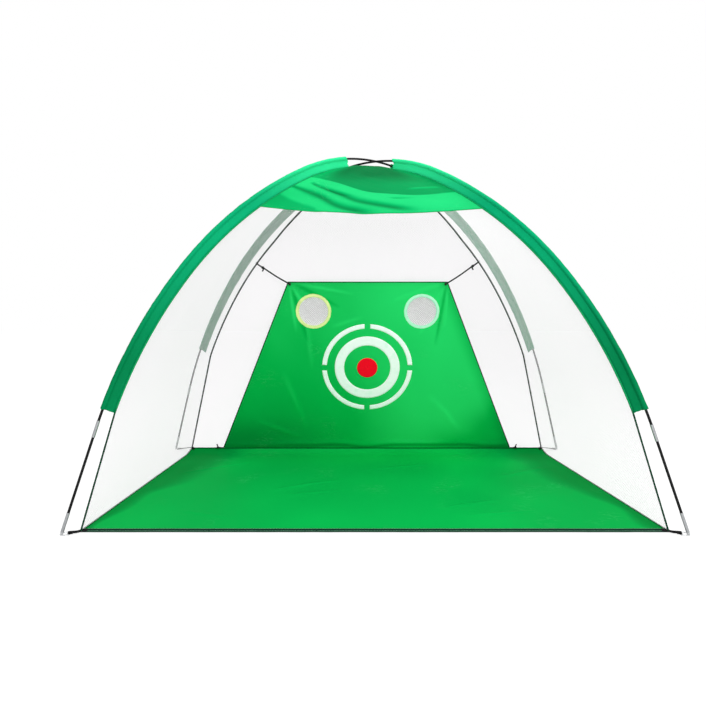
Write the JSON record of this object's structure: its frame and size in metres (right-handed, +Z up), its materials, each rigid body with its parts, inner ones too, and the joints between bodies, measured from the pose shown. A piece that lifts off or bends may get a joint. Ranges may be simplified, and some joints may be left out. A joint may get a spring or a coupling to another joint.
{
  "type": "golf chipping net",
  "caption": "Pop-up golf practice net: two crossed flexible poles, netting cage, roof panel, ground mat and a bullseye target sheet with ball pockets.",
  "frame": {"origin": "on the floor under the crossing of the two poles", "axes": "+X across the mouth to the right as seen by the player, +Y from the open front to the back net, +Z up"},
  "size_m": [2.0072, 1.0142, 1.3599],
  "materials": {
    "glass_fibre_rod": "black pulled glass-fibre rod, slight sheen",
    "steel_tube": "drawn steel tube, dull zinc grey",
    "elastic_cord": "white covered elastic cord",
    "plated_wire": "bright zinc-plated steel wire",
    "black_webbing": "black woven polypropylene webbing",
    "sleeve_cloth": "green coated polyester, satin",
    "seam_tape": "dark green bound seam",
    "white_net": "fine white knitted mesh, translucent",
    "roof_cloth": "green coated polyester, satin",
    "mat_cloth": "green coated polyester, satin",
    "dark_webbing": "dark woven webbing, sewn",
    "mat_tape": "dark green sewn tape",
    "sheet_cloth": "green coated polyester, satin",
    "white_print": "screen-printed white ink",
    "red_print": "screen-printed red ink",
    "rim_tape": "pale green binding tape",
    "pocket_mesh": "white knotted netting",
    "tie_cord": "black braided cord"
  },
  "bodies": {
    "cage": {"pole_a_rod_1": "glass_fibre_rod", "pole_a_rod_2": "glass_fibre_rod", "pole_a_rod_3": "glass_fibre_rod", "pole_a_rod_4": "glass_fibre_rod", "pole_a_rod_5": "glass_fibre_rod", "pole_a_rod_6": "glass_fibre_rod", "pole_a_rod_7": "glass_fibre_rod", "pole_b_rod_1": "glass_fibre_rod", "pole_b_rod_2": "glass_fibre_rod", "pole_b_rod_3": "glass_fibre_rod", "pole_b_rod_4": "glass_fibre_rod", "pole_b_rod_5": "glass_fibre_rod", "pole_b_rod_6": "glass_fibre_rod", "pole_b_rod_7": "glass_fibre_rod", "pole_a_ferrules": "steel_tube", "pole_b_ferrules": "steel_tube", "pole_a_end_tips": "steel_tube", "pole_b_end_tips": "steel_tube", "pole_a_shock_cord": "elastic_cord", "pole_b_shock_cord": "elastic_cord", "front_left_strap": "black_webbing", "front_right_strap": "black_webbing", "back_left_strap": "black_webbing", "back_right_strap": "black_webbing", "front_left_sleeve": "sleeve_cloth", "front_right_sleeve": "sleeve_cloth", "back_left_sleeve": "sleeve_cloth", "back_right_sleeve": "sleeve_cloth", "front_left_seam": "seam_tape", "front_right_seam": "seam_tape", "back_left_seam": "seam_tape", "back_right_seam": "seam_tape", "back_net": "white_net", "left_side_net": "white_net", "right_side_net": "white_net", "roof_panel": "roof_cloth", "ground_mat": "mat_cloth", "mat_front_webbing": "dark_webbing", "mat_edge_tape": "mat_tape", "bottom_ties": "tie_cord"},
    "target": {"target_sheet": "sheet_cloth", "bullseye_rings": "white_print", "bullseye_dot": "red_print", "left_pocket_rim": "rim_tape", "right_pocket_rim": "rim_tape", "left_pocket_net": "pocket_mesh", "right_pocket_net": "pocket_mesh", "left_top_tie": "tie_cord", "right_top_tie": "tie_cord"},
    "front_left_pin_set": {"front_left_pin": "plated_wire", "front_left_ring": "plated_wire"},
    "front_right_pin_set": {"front_right_pin": "plated_wire", "front_right_ring": "plated_wire"},
    "back_left_pin_set": {"back_left_pin": "plated_wire", "back_left_ring": "plated_wire"},
    "back_right_pin_set": {"back_right_pin": "plated_wire", "back_right_ring": "plated_wire"}
  },
  "joints": [
    {"name": "target_fold", "type": "hinge", "parent": "cage", "child": "target", "pos_m": [0, 0.44648, 0.02107], "axis": [1, 0, 0], "range_deg": [0, 77]},
    {"name": "front_left_pin_slide", "type": "slide", "parent": "cage", "child": "front_left_pin_set", "axis": [-0.2555, -0.1278, -0.9583], "range_m": [0, 0.03], "deforming": ["front_left_strap"]},
    {"name": "front_right_pin_slide", "type": "slide", "parent": "cage", "child": "front_right_pin_set", "axis": [0.2555, -0.1278, -0.9583], "range_m": [0, 0.03], "deforming": ["front_right_strap"]},
    {"name": "back_left_pin_slide", "type": "slide", "parent": "cage", "child": "back_left_pin_set", "axis": [-0.2555, 0.1278, -0.9583], "range_m": [0, 0.03], "deforming": ["back_left_strap"]},
    {"name": "back_right_pin_slide", "type": "slide", "parent": "cage", "child": "back_right_pin_set", "axis": [0.2555, 0.1278, -0.9583], "range_m": [0, 0.03], "deforming": ["back_right_strap"]}
  ]
}
